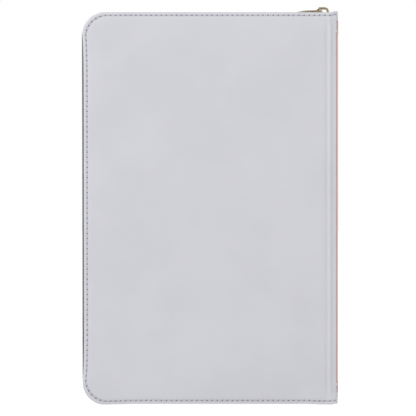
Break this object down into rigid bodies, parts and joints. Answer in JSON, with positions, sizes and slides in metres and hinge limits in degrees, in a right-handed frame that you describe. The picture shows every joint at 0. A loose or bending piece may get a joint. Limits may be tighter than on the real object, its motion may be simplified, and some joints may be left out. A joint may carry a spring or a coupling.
{
  "type": "zip-around prayer book",
  "caption": "Slim padded leatherette prayer book with a zip round its three open edges, stitched covers, a foil-lined spine and turning page sections.",
  "frame": {"origin": "middle of the footprint at the level of the tail, the book standing on its tail", "axes": "+Z from tail to head, +Y out of the front cover, -Y out of the back cover, +X out of the spine"},
  "size_m": [0.124, 0.03, 0.1928],
  "materials": {
    "cover_leather": "pearl, very fine grain, soft padding under it",
    "sewing_thread": "twisted sewing thread",
    "foam": "soft padding",
    "cover_board": "grey board",
    "lining": "matt lining paper",
    "zip_tape": "woven tape",
    "zip_coil": "nylon coil",
    "zip_metal": "champagne gold plating",
    "foil": "copper foil stamping",
    "page_paper": "thin cream paper",
    "flyleaf_paper": "heavier end paper",
    "spine_cloth": "glued open-weave cloth",
    "band_cloth": "two-colour woven band"
  },
  "bodies": {
    "spine": {"spine_skin": "cover_leather", "spine_foil": "foil", "spine_stitching": "sewing_thread", "spine_board": "cover_board", "spine_cloth": "spine_cloth", "head_band": "band_cloth", "tail_band": "band_cloth", "zip_tail_tab": "zip_tape", "zip_bottom_stop": "zip_metal", "front_hinge_strip": "cover_leather", "back_hinge_strip": "cover_leather", "front_middle_section": "page_paper", "back_middle_section": "page_paper", "front_gutter": "page_paper", "back_gutter": "page_paper"},
    "front_cover": {"front_cover_skin": "cover_leather", "front_cover_stitching": "sewing_thread", "front_cover_padding": "foam", "front_cover_board": "cover_board", "front_cover_lining": "lining", "front_zip_tape": "zip_tape", "front_zip_coil": "zip_coil", "front_zip_stop": "zip_metal"},
    "front_pages_1": {"front_section_1": "page_paper"},
    "front_pages_2": {"front_section_2": "page_paper"},
    "front_pages_3": {"front_section_3": "page_paper", "front_flyleaf": "flyleaf_paper"},
    "back_cover": {"back_cover_skin": "cover_leather", "back_cover_stitching": "sewing_thread", "back_cover_padding": "foam", "back_cover_board": "cover_board", "back_cover_lining": "lining", "back_zip_tape": "zip_tape", "back_zip_coil": "zip_coil", "back_zip_stop": "zip_metal"},
    "back_pages_1": {"back_section_1": "page_paper"},
    "back_pages_2": {"back_section_2": "page_paper"},
    "back_pages_3": {"back_section_3": "page_paper", "back_flyleaf": "flyleaf_paper"},
    "slider": {"slider_body": "zip_metal", "slider_bridge": "zip_metal"},
    "pull_tab": {"pull_tab": "zip_metal"}
  },
  "joints": [
    {"name": "front_cover_open", "type": "hinge", "parent": "spine", "child": "front_cover", "pos_m": [0.0592, 0.015, 0.095], "axis": [0, 0, -1], "range_deg": [0, 170]},
    {"name": "front_pages_1_turn", "type": "hinge", "parent": "spine", "child": "front_pages_1", "pos_m": [0.052, 0.00585, 0.095], "axis": [0, 0, -1], "range_deg": [0, 37.9]},
    {"name": "front_pages_2_turn", "type": "hinge", "parent": "spine", "child": "front_pages_2", "pos_m": [0.054, 0.00877, 0.095], "axis": [0, 0, -1], "range_deg": [0, 71.9]},
    {"name": "front_pages_3_turn", "type": "hinge", "parent": "spine", "child": "front_pages_3", "pos_m": [0.056, 0.0117, 0.095], "axis": [0, 0, -1], "range_deg": [0, 105.9]},
    {"name": "back_cover_open", "type": "hinge", "parent": "spine", "child": "back_cover", "pos_m": [0.0592, -0.015, 0.095], "axis": [0, 0, 1], "range_deg": [0, 170]},
    {"name": "back_pages_1_turn", "type": "hinge", "parent": "spine", "child": "back_pages_1", "pos_m": [0.052, -0.00585, 0.095], "axis": [0, 0, 1], "range_deg": [0, 37.9]},
    {"name": "back_pages_2_turn", "type": "hinge", "parent": "spine", "child": "back_pages_2", "pos_m": [0.054, -0.00877, 0.095], "axis": [0, 0, 1], "range_deg": [0, 71.9]},
    {"name": "back_pages_3_turn", "type": "hinge", "parent": "spine", "child": "back_pages_3", "pos_m": [0.056, -0.0117, 0.095], "axis": [0, 0, 1], "range_deg": [0, 105.9]},
    {"name": "slider_run", "type": "slide", "parent": "back_cover", "child": "slider", "axis": [-1, 0, 0], "range_m": [0, 0.095]},
    {"name": "pull_tab_swing", "type": "hinge", "parent": "slider", "child": "pull_tab", "pos_m": [0.05405, 0, 0.1907], "axis": [0, 1, 0], "range_deg": [0, 150]}
  ],
  "couplings": [
    {"joint": "front_pages_1_turn", "follows": "front_cover_open", "ratio": 0.22},
    {"joint": "front_pages_2_turn", "follows": "front_cover_open", "ratio": 0.42},
    {"joint": "front_pages_3_turn", "follows": "front_cover_open", "ratio": 0.62},
    {"joint": "back_pages_1_turn", "follows": "back_cover_open", "ratio": 0.22},
    {"joint": "back_pages_2_turn", "follows": "back_cover_open", "ratio": 0.42},
    {"joint": "back_pages_3_turn", "follows": "back_cover_open", "ratio": 0.62}
  ]
}
